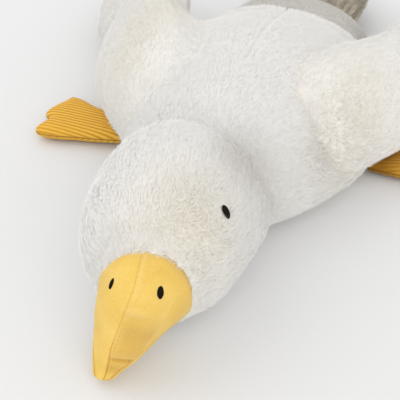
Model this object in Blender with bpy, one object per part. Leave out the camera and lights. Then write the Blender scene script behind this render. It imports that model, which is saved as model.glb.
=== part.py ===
"""A plush seagull pillow lying on its belly: one stuffed body with the head, a grey rump,
a tail, two wings, two corduroy feet, a velour beak, and embroidered eyes and nostrils.

Metres, +Z up, beak towards -Y, the bird's left side at +X. All shapes are worked out with
the middle of the head over the origin, and at the end everything is moved so that the
origin lies on the floor below the middle of the whole bird.
"""

import math

import bmesh
import bpy
import numpy as np
from mathutils import Matrix, Vector
from mathutils.bvhtree import BVHTree

# Driving dimensions: head and neck
HEAD_WIDTH = 0.123
HEAD_HEIGHT = 0.125
HEAD_REACH = 0.079
HEAD_BLUNTNESS = 2.2
HEAD_TURN = math.radians(5.5)
NECK_Y = 0.051
NECK_WIDTH = 0.112
NECK_HEIGHT = 0.106

# Driving dimensions: torso and rump
SHOULDER_Y = 0.088
SHOULDER_WIDTH = 0.168
SHOULDER_HEIGHT = 0.110
TORSO_Y = 0.148
TORSO_WIDTH = 0.216
TORSO_HEIGHT = 0.113
HIP_Y = 0.200
HIP_WIDTH = 0.193
HIP_HEIGHT = 0.105
RUMP_Y = 0.247
RUMP_WIDTH = 0.144
RUMP_HEIGHT = 0.089
RUMP_LENGTH = 0.066
RUMP_SIDE = 0.009
PRESSED = 0.004

# Driving dimensions: tail
TAIL_LENGTH = 0.110
TAIL_WIDTH = 0.092
TAIL_THICKNESS = 0.040
TAIL_RISE = 0.012
TAIL_SIDE = 0.001

# Driving dimensions: wings
WING_LENGTH = 0.270
WING_LEFT_CHORD = 0.098
WING_RIGHT_CHORD = 0.105
WING_THICKNESS = 0.056
WING_LEFT_SWEEP = math.radians(67.0)
WING_RIGHT_SWEEP = math.radians(64.4)
WING_ROOT_ROLL = math.radians(60)
WING_TIP_ROLL = math.radians(45)
WING_LEFT_Y = 0.113
WING_LEFT_INSET = 0.042
WING_RIGHT_Y = 0.099
WING_RIGHT_INSET = 0.054
WING_ROOT_HEIGHT = 0.072
WING_TIP_HEIGHT = 0.030

# Driving dimensions: feet
FOOT_LENGTH = 0.073
FOOT_SPREAD = 0.053
FOOT_HEEL = 0.024
FOOT_THICKNESS = 0.017
FOOT_TUCK = 0.011
FOOT_LEFT_Y = 0.176
FOOT_RIGHT_Y = 0.143
FOOT_LEFT_TURN = math.radians(-14)
FOOT_RIGHT_TURN = math.radians(0)

# Driving dimensions: beak, nostrils and eyes
BEAK_WIDTH = 0.062
BEAK_DEPTH = 0.072
BEAK_SIDE = 0.0022
BEAK_ROOT_Y = 0.052
BEAK_ROOT_Z = 0.061
BEAK_TIP_REACH = 0.107
BEAK_TIP_SIDE = 0.022
BEAK_TIP_WIDTH = 0.021
BEAK_TIP_DEPTH = 0.013
NOSTRIL_LENGTH = 0.0095
NOSTRIL_WIDTH = 0.0050
NOSTRIL_SPACING = 0.032
NOSTRIL_Z = 0.0770
EYE_LENGTH = 0.0105
EYE_WIDTH = 0.0056
EYE_Y = 0.0285
EYE_Z = 0.0985
STITCH_RISE = 0.0012

# Gap kept between sewn pieces, and mesh density
GAP = 0.0003
RING = 36
STEPS = 4


def clear_scene():
    for obj in list(bpy.data.objects):
        bpy.data.objects.remove(obj, do_unlink=True)


def material(name, colour, roughness):
    """A plain Principled finish."""
    made = bpy.data.materials.new(name)
    made.use_nodes = True
    shader = made.node_tree.nodes["Principled BSDF"]
    shader.inputs["Base Color"].default_value = (*colour, 1.0)
    shader.inputs["Roughness"].default_value = roughness
    shader.inputs["Metallic"].default_value = 0.0
    return made


def signed_power(value, power):
    return np.sign(value) * np.abs(value) ** power


def smooth_through(points, steps):
    """Catmull-Rom curve through rows of numbers, with the first and last rows repeated mirrored."""
    rows = np.asarray(points, float)
    rows = np.vstack([2 * rows[0] - rows[1], rows, 2 * rows[-1] - rows[-2]])
    return catmull_rom(rows, steps)


def catmull_rom(rows, steps):
    """Catmull-Rom curve from the second row to the last but one."""
    t = np.linspace(0, 1, steps, endpoint=False)[:, None]
    pieces = []
    for a, b, c, d in zip(rows, rows[1:], rows[2:], rows[3:]):
        pieces.append(
            0.5 * (2 * b + (c - a) * t + (2 * a - 5 * b + 4 * c - d) * t**2 + (3 * b - a - 3 * c + d) * t**3)
        )
    pieces.append(rows[-2][None, :])
    return np.vstack(pieces)


def closed_loft(rings, front_pole=None, rear_pole=None):
    """A closed mesh from equal rings. An end without a pole gets one flat face."""
    mesh = bmesh.new()
    loops = [[mesh.verts.new(p) for p in ring] for ring in rings]
    for first, second in zip(loops, loops[1:]):
        for i in range(len(first)):
            j = (i + 1) % len(first)
            mesh.faces.new((first[i], first[j], second[j], second[i]))
    for loop, pole in ((loops[0], front_pole), (loops[-1], rear_pole)):
        if pole is None:
            mesh.faces.new(loop)
        else:
            top = mesh.verts.new(pole)
            for i in range(len(loop)):
                mesh.faces.new((loop[i], loop[(i + 1) % len(loop)], top))
    bmesh.ops.recalc_face_normals(mesh, faces=mesh.faces)
    return mesh


def new_object(name, mesh, finish, smooth=True):
    data = bpy.data.meshes.new(name)
    mesh.to_mesh(data)
    mesh.free()
    data.materials.append(finish)
    obj = bpy.data.objects.new(name, data)
    bpy.context.scene.collection.objects.link(obj)
    if smooth:
        data.shade_smooth()
        data.set_sharp_from_angle(angle=math.radians(50))
    return obj


def grown_cutter(source, distance):
    """A copy of a closed piece with each point moved out along its normal, used only to cut."""
    mesh = bmesh.new()
    mesh.from_mesh(source.data)
    mesh.normal_update()
    for vert, out in [(v, v.normal.copy()) for v in mesh.verts]:
        vert.co += out * distance
    cutter = new_object(source.name + "_cutter", mesh, source.data.materials[0], smooth=False)
    cutter.hide_render = True
    cutter.display_type = "WIRE"
    return cutter


def cut(obj, cutters):
    for cutter in cutters:
        modifier = obj.modifiers.new("cut_" + cutter.name, "BOOLEAN")
        modifier.operation = "DIFFERENCE"
        modifier.solver = "EXACT"
        modifier.object = cutter


# Body: rows of cross-sections from the front of the head to the end of the rump
def body_rows():
    """Rows of y, half width, top, bottom, widest share of the height, upper fullness and side shift.

    A bottom below the floor is pressed flat on it.
    """
    head_middle = HEAD_HEIGHT / 2
    half_head = (HEAD_HEIGHT + 2 * PRESSED) / 2
    rows = []
    for angle in (90, 70, 48, 26):
        along = math.sin(math.radians(angle)) ** (2 / HEAD_BLUNTNESS)
        across = math.cos(math.radians(angle)) ** (2 / HEAD_BLUNTNESS) if angle < 90 else 0.0
        rows.append(
            (-HEAD_REACH * along, HEAD_WIDTH / 2 * across, head_middle + HEAD_HEIGHT / 2 * across,
             head_middle - half_head * across, 0.5, 2.0, 0.0)
        )
    rows += [
        (0.0, HEAD_WIDTH / 2, HEAD_HEIGHT, -PRESSED, 0.48, 2.0, 0.0),
        (NECK_Y * 0.55, HEAD_WIDTH * 0.485, HEAD_HEIGHT * 0.955, -PRESSED, 0.44, 2.0, 0.0),
        (NECK_Y, NECK_WIDTH / 2, NECK_HEIGHT, -PRESSED, 0.38, 1.9, 0.0),
        (SHOULDER_Y, SHOULDER_WIDTH / 2, SHOULDER_HEIGHT, -PRESSED, 0.30, 1.6, RUMP_SIDE * 0.3),
        (TORSO_Y, TORSO_WIDTH / 2, TORSO_HEIGHT, -PRESSED, 0.27, 1.6, RUMP_SIDE * 0.4),
        (HIP_Y, HIP_WIDTH / 2, HIP_HEIGHT, -PRESSED, 0.30, 1.9, RUMP_SIDE * 0.7),
        (RUMP_Y, RUMP_WIDTH / 2, RUMP_HEIGHT, -PRESSED / 2, 0.40, 2.3, RUMP_SIDE),
    ]
    rump_middle = RUMP_HEIGHT * 0.40
    for angle in (30, 55, 76, 90):
        along = math.sin(math.radians(angle))
        across = math.cos(math.radians(angle)) if angle < 90 else 0.0
        rows.append(
            (RUMP_Y + RUMP_LENGTH * along, RUMP_WIDTH / 2 * across,
             rump_middle + (RUMP_HEIGHT - rump_middle) * across,
             rump_middle - rump_middle * across, 0.42, 2.2, RUMP_SIDE)
        )
    return rows


# The row where the white cover ends and the grey rump begins
RUMP_ROW = 10


def body_stations():
    """The rows drawn out smoothly, with both ends mirrored so that they close as round domes."""
    rows = np.array(body_rows(), float)
    mirror = np.array([1, -1, 1, 1, 1, 1, 1], float)
    before, after = rows[1] * mirror, rows[-2] * mirror
    before[2], before[3] = rows[1][3], rows[1][2]
    after[2], after[3] = rows[-2][3], rows[-2][2]
    return catmull_rom(np.vstack([before, rows, after]), STEPS)


def body_ring(station, shift=0.0):
    """One cross-section: a dome above its widest height, and a half ellipse pressed flat below."""
    y, half, top, bottom, share, fullness, side = station
    middle = bottom + share * (top - bottom)
    angle = np.linspace(0, 2 * math.pi, RING, endpoint=False)
    c, s = np.cos(angle), np.sin(angle)
    upper = s >= 0
    power = np.where(upper, 2 / fullness, 1.0)
    x = side + half * signed_power(c, power)
    z = middle + np.where(upper, top - middle, middle - bottom) * signed_power(s, power)
    return np.c_[x, np.full(RING, y + shift), np.maximum(z, 0.0)]


def build_body(finish):
    stations = body_stations()[: RUMP_ROW * STEPS + 1]
    pole = (0.0, stations[0][0], stations[0][2])
    mesh = closed_loft([body_ring(s) for s in stations[1:]], front_pole=pole)
    return new_object("body", mesh, finish)


def build_rump(finish):
    stations = body_stations()[RUMP_ROW * STEPS:]
    rings = [body_ring(s, GAP) for s in stations[:-1]]
    pole = (RUMP_SIDE, stations[-1][0] + GAP, stations[-1][2])
    return new_object("rump", closed_loft(rings, rear_pole=pole), finish)


# Tail: a flat stuffed slab that widens a little, with a round end
def build_tail(finish):
    start = RUMP_Y + RUMP_LENGTH * 0.45
    end = RUMP_Y + RUMP_LENGTH + TAIL_LENGTH
    half, thick = TAIL_WIDTH / 2, TAIL_THICKNESS / 2
    rows = []
    for share in np.linspace(0, 0.72, 8):
        rows.append((start + share * (end - start), half * (0.84 + 0.22 * share), thick * (1 - 0.15 * share)))
    width_there, thick_there = rows[-1][1], rows[-1][2]
    for angle in (25, 48, 68, 83):
        bend, squeeze = math.sin(math.radians(angle)), math.cos(math.radians(angle))
        y = start + (0.72 + 0.28 * bend) * (end - start)
        rows.append((y, width_there * squeeze**0.7, thick_there * squeeze**0.6))
    angle = np.linspace(0, 2 * math.pi, RING, endpoint=False)
    rings = []
    for y, half_width, half_height in rows:
        middle = thick + TAIL_RISE * (y - start) / (end - start)
        x = TAIL_SIDE + half_width * signed_power(np.cos(angle), 0.8)
        z = middle + half_height * signed_power(np.sin(angle), 0.9)
        rings.append(np.c_[x, np.full(RING, y), np.maximum(z, 0.0)])
    first = (TAIL_SIDE, rows[0][0] - TAIL_THICKNESS * 0.1, rings[0][:, 2].mean())
    last = (TAIL_SIDE, end, rings[-1][:, 2].mean())
    return new_object("tail", closed_loft(rings, first, last), finish)


# Wings: a thick paddle carried along a path from the shoulder, rolled so that its front edge hangs down
def build_wing(name, side, root_y, inset, full_chord, sweep, finish):
    root = np.array([TORSO_WIDTH / 2 - inset, root_y, WING_ROOT_HEIGHT])
    out = np.array([math.cos(sweep), math.sin(sweep), 0.0])
    drop = np.array([0.0, 0.0, WING_TIP_HEIGHT - WING_ROOT_HEIGHT])
    rows = []
    for share, chord, thick in (
        (0.00, 0.46, 0.46), (0.04, 0.76, 0.76), (0.11, 0.95, 0.95), (0.22, 1.02, 1.00), (0.40, 1.00, 1.00),
        (0.60, 0.96, 0.92), (0.78, 0.87, 0.82), (0.90, 0.70, 0.64), (0.965, 0.46, 0.42), (1.00, 0.0, 0.0),
    ):
        place = root + out * WING_LENGTH * share + drop * share
        rows.append((*place, chord * full_chord / 2, thick * WING_THICKNESS / 2, share))
    path = smooth_through(rows, 3)[:-1]
    axis = np.gradient(path[:, :3], axis=0)
    axis /= np.linalg.norm(axis, axis=1)[:, None]
    front = np.cross(axis, [0.0, 0.0, 1.0])
    front /= np.linalg.norm(front, axis=1)[:, None]
    over = np.cross(front, axis)
    roll = WING_ROOT_ROLL + (WING_TIP_ROLL - WING_ROOT_ROLL) * path[:, 5:6]
    chord_way = front * np.cos(roll) - over * np.sin(roll)
    thick_way = over * np.cos(roll) + front * np.sin(roll)
    angle = np.linspace(0, 2 * math.pi, RING, endpoint=False)
    rings = []
    for row, along, through in zip(path, chord_way, thick_way):
        ring = (
            row[:3]
            + np.outer(signed_power(np.cos(angle), 0.9) * row[3], along)
            + np.outer(signed_power(np.sin(angle), 0.95) * row[4], through)
        )
        ring[:, 2] = np.maximum(ring[:, 2], 0.0)
        ring[:, 0] *= side
        rings.append(ring)
    first = rings[0].mean(axis=0)
    last = np.array(rows[-1][:3]) * (side, 1.0, 1.0)
    return new_object(name, closed_loft(rings, first, last), finish)


# Feet: a webbed outline with three toes, padded between a top and a bottom panel
def foot_outline():
    """Points of the outline, u outwards from the heel and v across, drawn smoothly through its corners."""
    heel, half = FOOT_HEEL / 2, FOOT_SPREAD / 2
    corners = np.array([
        (0.00, heel), (0.28, heel + 0.38 * (half - heel)), (0.50, half * 0.78), (0.74, half * 0.95),
        (0.92, half * 0.99), (0.985, half * 0.86), (0.95, half * 0.58), (0.912, half * 0.33),
        (0.945, half * 0.18), (1.00, half * 0.05), (0.995, -half * 0.18), (0.96, -half * 0.41),
        (0.875, -half * 0.84), (0.85, -half * 1.01), (0.77, -half * 1.03), (0.68, -half * 0.97),
        (0.46, -half * 0.74), (0.26, -heel - 0.40 * (half - heel)), (0.00, -heel),
    ]) * (FOOT_LENGTH, 1.0)
    rows = np.vstack([corners[-1], corners, corners[0], corners[1]])
    return catmull_rom(rows, 2)[:-1]


def build_foot(name, side, y, turn, finish):
    outline = foot_outline()
    middle = np.array([FOOT_LENGTH * 0.60, 0.0])
    heel_x = TORSO_WIDTH / 2 - FOOT_TUCK
    c, s = math.cos(turn), math.sin(turn)
    rings = []
    for angle in (-72, -50, -25, 0, 25, 48, 68, 82):
        inset = math.cos(math.radians(angle)) ** 0.45
        rise = FOOT_THICKNESS / 2 * (1 + signed_power(math.sin(math.radians(angle)), 0.9))
        flat = middle + (outline - middle) * inset
        u, v = flat[:, 0], flat[:, 1]
        x = side * (heel_x + u * c - v * s)
        rings.append(np.c_[x, y - (u * s + v * c), np.full(len(u), max(rise, 0.0))])
    low, high = rings[0].mean(axis=0), rings[-1].mean(axis=0)
    low[2], high[2] = rings[0][0][2], FOOT_THICKNESS
    rings = [r - (0.0, 0.0, rings[0][0][2]) for r in rings]
    return new_object(name, closed_loft(rings, None, tuple(high - (0, 0, low[2]))), finish)


# Beak: rings along a drooping curve from inside the head to the tip on the floor
def head_point(side, forward, z):
    """A place given in the head's own turned frame."""
    c, s = math.cos(HEAD_TURN), math.sin(HEAD_TURN)
    return np.array([side * c + forward * s, side * s - forward * c, z])


def beak_rows():
    """Rows along the beak in the head's frame: side, forward, z, half width, half depth, slope.

    Side and forward start as shares of the tip's sway and of the way from root to tip.
    """
    half, deep = BEAK_WIDTH / 2, BEAK_DEPTH / 2
    height, tip_half, tip_deep = BEAK_ROOT_Z, BEAK_TIP_WIDTH / 2, BEAK_TIP_DEPTH
    rows = np.array([
        (0.00, 0.00, height, half * 0.96, deep * 0.97, 4),
        (0.00, 0.29, height * 0.95, half, deep, 16),
        (0.20, 0.51, height * 0.79, half * 0.90, deep * 0.80, 36),
        (0.48, 0.60, height * 0.54, half * 0.71, deep * 0.56, 52),
        (0.74, 0.76, height * 0.32, half * 0.50, tip_deep * 0.95, 60),
        (0.92, 0.86, tip_deep * 0.85, tip_half, tip_deep * 0.62, 64),
        (0.99, 0.95, tip_deep * 0.55, tip_half * 0.70, tip_deep * 0.44, 68),
    ])
    rows[:, 0] = BEAK_SIDE - BEAK_TIP_SIDE * rows[:, 0]
    rows[:, 1] = BEAK_ROOT_Y + (BEAK_TIP_REACH - BEAK_ROOT_Y) * rows[:, 1]
    rows[:, 5] = np.radians(rows[:, 5])
    return rows


def build_beak(finish):
    rows = smooth_through(beak_rows(), STEPS)
    angle = np.linspace(0, 2 * math.pi, RING, endpoint=False)
    rings = []
    for side, forward, z, half_width, half_depth, slope in rows:
        across = half_width * signed_power(np.cos(angle), 0.96)
        above = half_depth * signed_power(np.sin(angle), 0.92)
        ring = [
            head_point(side + a, forward + b * math.sin(slope), z + b * math.cos(slope))
            for a, b in zip(across, above)
        ]
        ring = np.array(ring)
        ring[:, 2] = np.maximum(ring[:, 2], 0.0)
        rings.append(ring)
    last = beak_rows()[-1]
    tip = head_point(last[0], last[1] + BEAK_TIP_DEPTH * 0.25, max(last[2] - BEAK_TIP_DEPTH * 0.3, 0.0))
    first = rings[0].mean(axis=0)
    return new_object("beak", closed_loft(rings, first, tuple(tip)), finish)


# Eyes and nostrils: oval pads of satin stitches lying on the surface
def stitched_oval(name, ground, place, heading, length, width, tilt, finish):
    """An oval pad where the line from a place along a heading meets the ground piece."""
    mesh = bmesh.new()
    mesh.from_mesh(ground.data)
    tree = BVHTree.FromBMesh(mesh)
    hit, normal, _, _ = tree.ray_cast(Vector(place), Vector(heading))
    mesh.free()
    upright = Vector((0, 0, 1))
    across = upright.cross(normal).normalized()
    along = normal.cross(across)
    turned = across * math.sin(tilt) + along * math.cos(tilt)
    sideways = turned.cross(normal)
    pad = bmesh.new()
    bmesh.ops.create_uvsphere(pad, u_segments=20, v_segments=12, radius=1.0)
    size = Matrix.Diagonal((width / 2, length / 2, STITCH_RISE + GAP, 1.0))
    frame = Matrix((sideways, turned, normal)).transposed().to_4x4()
    frame.translation = hit
    bmesh.ops.transform(pad, matrix=frame @ size, verts=pad.verts)
    bmesh.ops.recalc_face_normals(pad, faces=pad.faces)
    return new_object(name, pad, finish)


def main():
    clear_scene()
    plush = material("white_plush", (0.80, 0.78, 0.73), 0.95)
    grey = material("grey_plush", (0.53, 0.50, 0.46), 0.95)
    taupe = material("taupe_plush", (0.31, 0.27, 0.22), 0.95)
    corduroy = material("mustard_corduroy", (0.75, 0.41, 0.05), 0.90)
    velour = material("yellow_velour", (0.88, 0.62, 0.16), 0.85)
    thread = material("dark_thread", (0.02, 0.015, 0.01), 0.60)

    body = build_body(plush)
    rump = build_rump(grey)
    body_cutter = grown_cutter(body, GAP)
    rump_cutter = grown_cutter(rump, GAP)

    tail = build_tail(taupe)
    cut(tail, [rump_cutter])

    feet = []
    for name, side, y, turn in (
        ("foot_left", 1, FOOT_LEFT_Y, FOOT_LEFT_TURN),
        ("foot_right", -1, FOOT_RIGHT_Y, FOOT_RIGHT_TURN),
    ):
        feet.append(build_foot(name, side, y, turn, corduroy))
    foot_cutters = [grown_cutter(foot, GAP) for foot in feet]
    for foot in feet:
        cut(foot, [body_cutter])

    wings = []
    left_sizes = (WING_LEFT_Y, WING_LEFT_INSET, WING_LEFT_CHORD, WING_LEFT_SWEEP)
    right_sizes = (WING_RIGHT_Y, WING_RIGHT_INSET, WING_RIGHT_CHORD, WING_RIGHT_SWEEP)
    for name, side, sizes, foot_cutter in (
        ("wing_left", 1, left_sizes, foot_cutters[0]),
        ("wing_right", -1, right_sizes, foot_cutters[1]),
    ):
        wing = build_wing(name, side, *sizes, plush)
        cut(wing, [body_cutter, rump_cutter, foot_cutter])
        wings.append(wing)

    beak = build_beak(velour)
    beak_cutter = grown_cutter(beak, GAP)
    cut(beak, [body_cutter])

    ovals = []
    down = (math.sin(HEAD_TURN), -math.cos(HEAD_TURN), 0.0)
    for name, side in (("nostril_left", 1), ("nostril_right", -1)):
        start = head_point(side * NOSTRIL_SPACING / 2, BEAK_TIP_REACH * 1.5, NOSTRIL_Z)
        oval = stitched_oval(
            name, beak, start, -Vector(down), NOSTRIL_LENGTH, NOSTRIL_WIDTH, side * math.radians(12), thread
        )
        cut(oval, [beak_cutter])
        ovals.append(oval)
    for name, side in (("eye_left", 1), ("eye_right", -1)):
        start = head_point(side * HEAD_WIDTH, EYE_Y, EYE_Z)
        inward = head_point(-side, 0.0, 0.0)
        oval = stitched_oval(name, body, start, inward, EYE_LENGTH, EYE_WIDTH, side * math.radians(8), thread)
        cut(oval, [body_cutter])
        ovals.append(oval)

    middle_floor(
        [body, rump, tail, beak, *feet, *wings, *ovals],
        [body_cutter, rump_cutter, beak_cutter, *foot_cutters],
    )


def middle_floor(pieces, cutters):
    """Moves everything so that the origin lies on the floor below the middle of the pieces."""
    bpy.context.view_layer.update()
    graph = bpy.context.evaluated_depsgraph_get()
    corners = np.array([c[:] for p in pieces for c in p.evaluated_get(graph).bound_box])
    low, high = corners.min(axis=0), corners.max(axis=0)
    shift = Vector(((low[0] + high[0]) / 2, (low[1] + high[1]) / 2, low[2]))
    for obj in [*pieces, *cutters]:
        obj.location = -shift


main()
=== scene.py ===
"""The looks of a plush seagull pillow that lies on its belly, with a drooping beak and spread wings.

The plush covers start from their solids: each is remeshed, swollen by a cloth simulation, pressed in
along its seams and drawn in by the depth of its pile. The pile is then planted on it as tufts. The
velour beak and the corduroy feet are surfaces worked out on grids. Metres, +Z up, beak towards -Y,
the bird's left side at +X.
"""

import math

import bmesh
import bpy
import numpy as np
from mathutils import Matrix, Vector


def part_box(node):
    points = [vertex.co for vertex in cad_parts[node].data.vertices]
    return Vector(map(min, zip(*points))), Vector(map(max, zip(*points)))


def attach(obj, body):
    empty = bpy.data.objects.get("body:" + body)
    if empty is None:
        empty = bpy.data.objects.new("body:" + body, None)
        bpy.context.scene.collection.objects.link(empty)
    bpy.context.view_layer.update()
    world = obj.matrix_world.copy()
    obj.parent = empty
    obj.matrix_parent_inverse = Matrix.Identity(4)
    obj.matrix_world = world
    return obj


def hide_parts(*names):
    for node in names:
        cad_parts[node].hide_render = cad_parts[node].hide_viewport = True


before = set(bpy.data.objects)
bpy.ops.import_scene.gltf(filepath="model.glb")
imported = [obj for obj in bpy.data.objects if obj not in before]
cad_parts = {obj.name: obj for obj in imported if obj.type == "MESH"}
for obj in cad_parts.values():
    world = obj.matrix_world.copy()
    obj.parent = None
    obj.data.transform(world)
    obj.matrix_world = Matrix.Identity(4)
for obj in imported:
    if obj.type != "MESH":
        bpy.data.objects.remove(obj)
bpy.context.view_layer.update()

# Places in the frame, read from the solids. HEAD lies on the floor below the middle of the head
HEAD_SIDE = -0.0005
HEAD_REACH = 0.079
HEAD_TURN = math.radians(5.5)
body_low, body_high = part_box("body")
eye_left_low, eye_left_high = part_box("eye_left")
eye_right_low, eye_right_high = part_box("eye_right")
HEAD = np.array([HEAD_SIDE, body_low.y + HEAD_REACH, 0.0])
HEAD_CORE = HEAD + np.array([0.0, 0.0, 0.062])
BEAK_BASE = HEAD + np.array([0.008, -0.085, 0.060])
NECK_Y = HEAD[1] + 0.056
BACK_Y = NECK_Y + 0.085
EYE_RIGHT = (eye_right_low + eye_right_high) / 2

# Camera
CAMERA_OFFSET = np.array([0.2300, -0.5803, 0.6000])
CAMERA_AZIMUTH = math.radians(20)
CAMERA_ELEVATION = math.radians(40)
CAMERA_LENS = 108.0
CAMERA_SENSOR = 36.0

# Light and floor
WORLD_LIGHT = 0.90
KEY_LIGHT = 0.56
KEY_TOWARDS = (-0.66, 0.20, 0.72)
FILL_LIGHT = 1.15
FILL_TOWARDS = (0.42, -0.80, 0.50)
LIGHT_SPREAD = math.radians(75)
FLOOR_TONE = 0.738
FLOOR_HALF = 4.0

# Colours: the dark and light of a backing, the root, middle and tip tones of a fibre, stops of a cloth.
# Backings a little darker than their fibres, and the darker roots, are painted shade deep in the pile
WHITE_BACKING = ((0.84, 0.82, 0.78), (0.90, 0.88, 0.84))
WHITE_FIBRE = ((0.76, 0.74, 0.70), (0.925, 0.915, 0.893), (0.965, 0.96, 0.95))
GREY_BACKING = ((0.48, 0.46, 0.43), (0.60, 0.58, 0.54))
GREY_FIBRE = ((0.46, 0.44, 0.41), (0.66, 0.63, 0.59), (0.78, 0.75, 0.71))
TAUPE_BACKING = ((0.16, 0.13, 0.10), (0.28, 0.24, 0.19))
TAUPE_FIBRE = ((0.18, 0.145, 0.10), (0.46, 0.405, 0.32), (0.76, 0.69, 0.57))
WARM_TINT = (1.0, 0.96, 0.86)
VELOUR_YELLOW = (0.74, 0.475, 0.095)
VELOUR_TONES = [(0.60, (0.65, 0.405, 0.070)), (0.85, (0.785, 0.530, 0.122)), (1.0, (0.85, 0.60, 0.17))]
# Painted sheen and painted shade of the velour
VELOUR_PAINTED_SHEEN = (0.86, 0.62, 0.24)
VELOUR_SHADE = (0.42, 0.20, 0.025)
CORDUROY_MUSTARD = (0.75, 0.40, 0.05)
# Corduroy stops run from painted shade in the rib valleys up to the crests; its shade colour is painted
# shade under the wing
CORDUROY_TONES = [(0.12, (0.45, 0.205, 0.016)), (0.55, (0.67, 0.35, 0.034)), (1.0, (0.78, 0.465, 0.075))]
CORDUROY_SHADE = (0.22, 0.09, 0.002)
THREAD_DARK = (0.010, 0.007, 0.004)

# Pile of the plush
PILE_DEPTH = 0.0021
PILE_LENGTH = 0.0052
PILE_WIDTH = 0.00028
PILE_LIFT = 0.32
PILE_LOOSENESS = 0.16
CURL_SIZE = 0.0022
WIDE_CURL_SIZE = CURL_SIZE * 3.2
ROOT_DEPTH = 0.0004
TAIL_PILE_LENGTH = 0.0065
TAIL_LOOSENESS = 0.15
TAIL_STREAKS = 0.18
STREAK_SIZE = 0.0045

# Covers
COVER_VOXEL = 0.0052
SMALL_COVER_VOXEL = 0.0060
SWELL_LIMIT = 0.004
SWELL_PRESSURE = 2.5
SWELL_FRAMES = 20
CREASE_ROUNDS = 14
NECK_ROUNDS = 90
UNDER_DEPTH = 0.0035
UNDER_OVERLAP = 0.0030
UNDER_BARE = 0.42

# Seams of the white cover, and how far it is raised or pressed in at its patches
CREASE_DEPTH = 0.0013
CREASE_SPREAD = 0.26
CREASE_AT_LEFT_WING = 0.6
CREASE_AT_RIGHT_WING = 0.25
BACK_SEAM_DEPTH = 0.0005
BACK_SEAM_WIDTH = 0.0016
NECK_SIDES_RISE = 0.0048
RUMP_EDGE_RISE = 0.0026
BULGE_RISE = 0.0075
NOTCH_DEPTH = 0.0040
WAIST_DEPTH = 0.0070

# Patches of the white cover: the middle, from HEAD, and the reach along each axis
NECK_SIDES = ((0.058, 0.038, 0.045), (0.018, 0.028, 0.036))
RIGHT_WING_BULGE = ((-0.127, 0.150, 0.050), (0.030, 0.045, 0.040))
RIGHT_WING_NOTCH = ((-0.153, 0.228, 0.040), (0.022, 0.012, 0.030))
RIGHT_WAIST = ((-0.092, 0.292, 0.045), (0.024, 0.024, 0.040))
MATTED_CROWN = ((0.034, -0.052, 0.104), (0.026, 0.034, 0.032))
MATTED_WING_SEAM = ((0.078, 0.112, 0.078), (0.014, 0.034, 0.035))
# The next four patches are painted shade in the pile's tone, and painted light at the cheek
PAINTED_SHADE_HOLLOW = ((0.044, 0.042, 0.075), (0.036, 0.028, 0.040))
PAINTED_SHADE_BEFORE_HOLLOW = ((0.034, 0.018, 0.100), (0.020, 0.022, 0.030))
PAINTED_SHADE_WING_ROOT = ((0.095, 0.105, 0.070), (0.035, 0.045, 0.050))
PAINTED_LIGHT_CHEEK = ((-0.058, -0.020, 0.060), (0.030, 0.055, 0.055))
WARM_CROWN = ((0.028, -0.050, 0.100), (0.034, 0.036, 0.040))
WARM_LEFT_WING = ((0.090, 0.135, 0.080), (0.030, 0.050, 0.050))
WARM_RIGHT_WING = ((-0.080, 0.160, 0.080), (0.028, 0.060, 0.050))


# Small helpers on arrays
def unit(rows):
    """Each row divided by its length."""
    return rows / np.maximum(np.linalg.norm(rows, axis=-1, keepdims=True), 1e-12)


def along_surface(ways, out):
    """The part of each direction that lies in the surface whose normal is out."""
    return ways - out * np.sum(ways * out, axis=1, keepdims=True)


def smooth_step(low, high, value):
    """0 at low and 1 at high, with the curve 3 t^2 - 2 t^3 between them."""
    share = np.clip((value - low) / (high - low), 0.0, 1.0)
    return share * share * (3 - 2 * share)


def plateau(rise, fall, value):
    """0, led up to 1 between the two values of rise and back to 0 between the two of fall."""
    return smooth_step(*rise, value) * (1 - smooth_step(*fall, value))


def hump(off, width, power=2):
    """1 where off is 0, falling off as e to the minus (off / width) to a power."""
    return np.exp(-((off / width) ** power))


def bell(points, centre, reach):
    """1 at a place and falling off to 0 round it, by the reach along each axis."""
    off = (points - np.asarray(centre)) / np.asarray(reach)
    return np.exp(-np.sum(off * off, axis=1))


def patch(points, spot):
    """A bell round the middle of one of the patches, which are given from HEAD."""
    middle, reach = spot
    return bell(points, HEAD + np.array(middle), reach)


def ripples(points, size, seed, waves=26):
    """Sum of cosine waves in random directions, each about one size long.

    Returns the height, about -1 to 1, and its slope times size / (2 pi), about as large.
    """
    rng = np.random.default_rng(seed)
    ways = unit(rng.normal(size=(waves, 3))) * (2 * math.pi / size) * rng.uniform(0.7, 1.4, (waves, 1))
    phase = rng.uniform(0, 2 * math.pi, waves)
    angle = (points @ ways.T + phase).astype(np.float32)
    scale = math.sqrt(2 / waves)
    height = np.cos(angle).sum(axis=1) * scale
    slope = -(np.sin(angle) @ ways.astype(np.float32)) * scale * size / (2 * math.pi)
    return height * 0.6, slope


def catmull_rom(rows, steps):
    """Catmull-Rom curve through all rows, with the first and last mirrored beyond the ends."""
    rows = np.asarray(rows, float)
    rows = np.vstack([2 * rows[0] - rows[1], rows, 2 * rows[-1] - rows[-2]])
    t = np.linspace(0, 1, steps, endpoint=False)[None, :, None]
    a, b, c, d = rows[:-3, None], rows[1:-2, None], rows[2:-1, None], rows[3:, None]
    curve = 2 * b + (c - a) * t + (2 * a - 5 * b + 4 * c - d) * t**2 + (3 * b - a - 3 * c + d) * t**3
    return np.vstack([0.5 * curve.reshape(-1, rows.shape[1]), rows[-2]])


# Materials
def principled(name, colour, roughness, sheen=0.0, specular=0.2):
    """A plain Principled finish."""
    made = bpy.data.materials.new(name)
    made.use_nodes = True
    shader = made.node_tree.nodes["Principled BSDF"]
    shader.inputs["Base Color"].default_value = (*colour, 1.0)
    shader.inputs["Roughness"].default_value = roughness
    shader.inputs["Specular IOR Level"].default_value = specular
    shader.inputs["Sheen Weight"].default_value = sheen
    shader.inputs["Sheen Roughness"].default_value = 0.5
    return made, made.node_tree, shader


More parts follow.
